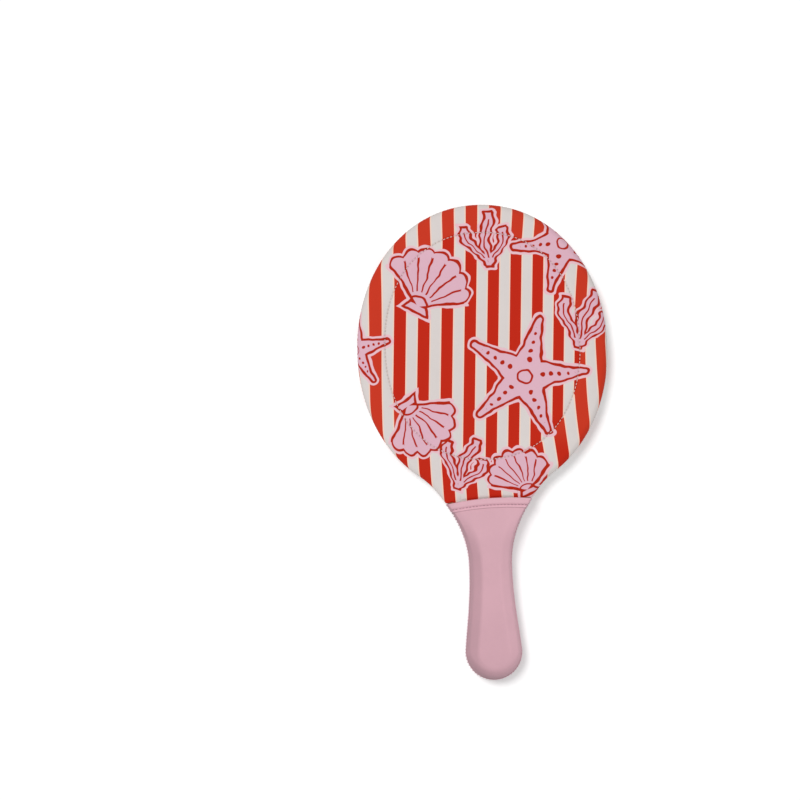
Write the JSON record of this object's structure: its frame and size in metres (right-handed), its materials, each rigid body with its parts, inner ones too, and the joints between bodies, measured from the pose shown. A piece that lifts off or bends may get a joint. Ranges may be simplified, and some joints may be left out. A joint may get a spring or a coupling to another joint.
{
  "type": "beach tennis racket",
  "caption": "Flat oval beach racket: padded striped neoprene head with a quilted ring, and a short swelling grip in a pink hemmed sleeve.",
  "frame": {"origin": "under the middle of the racket's bounding box, on the surface that the racket's back lies on", "axes": "+Y from the grip's butt to the tip of the head, +Z out of the front face, +X to the right seen from the front"},
  "size_m": [0.2008, 0.382, 0.025],
  "materials": {
    "plywood": "sanded",
    "beech": "sanded",
    "foam": "closed-cell foam",
    "printed_neoprene": "matte knit",
    "pink_neoprene": "matte knit",
    "pale_thread": "matte",
    "pink_thread": "matte"
  },
  "bodies": {
    "root": {"core_board": "plywood", "front_pad": "foam", "back_pad": "foam", "front_cover": "printed_neoprene", "back_cover": "printed_neoprene", "front_ring_thread": "pale_thread", "back_ring_thread": "pale_thread", "rim_seam_thread": "pale_thread", "front_scale": "beech", "back_scale": "beech", "upper_dowel": "beech", "lower_dowel": "beech", "front_grip_sleeve": "pink_neoprene", "back_grip_sleeve": "pink_neoprene", "front_hem_thread": "pink_thread", "back_hem_thread": "pink_thread", "grip_seam_thread": "pink_thread"}
  },
  "joints": []
}
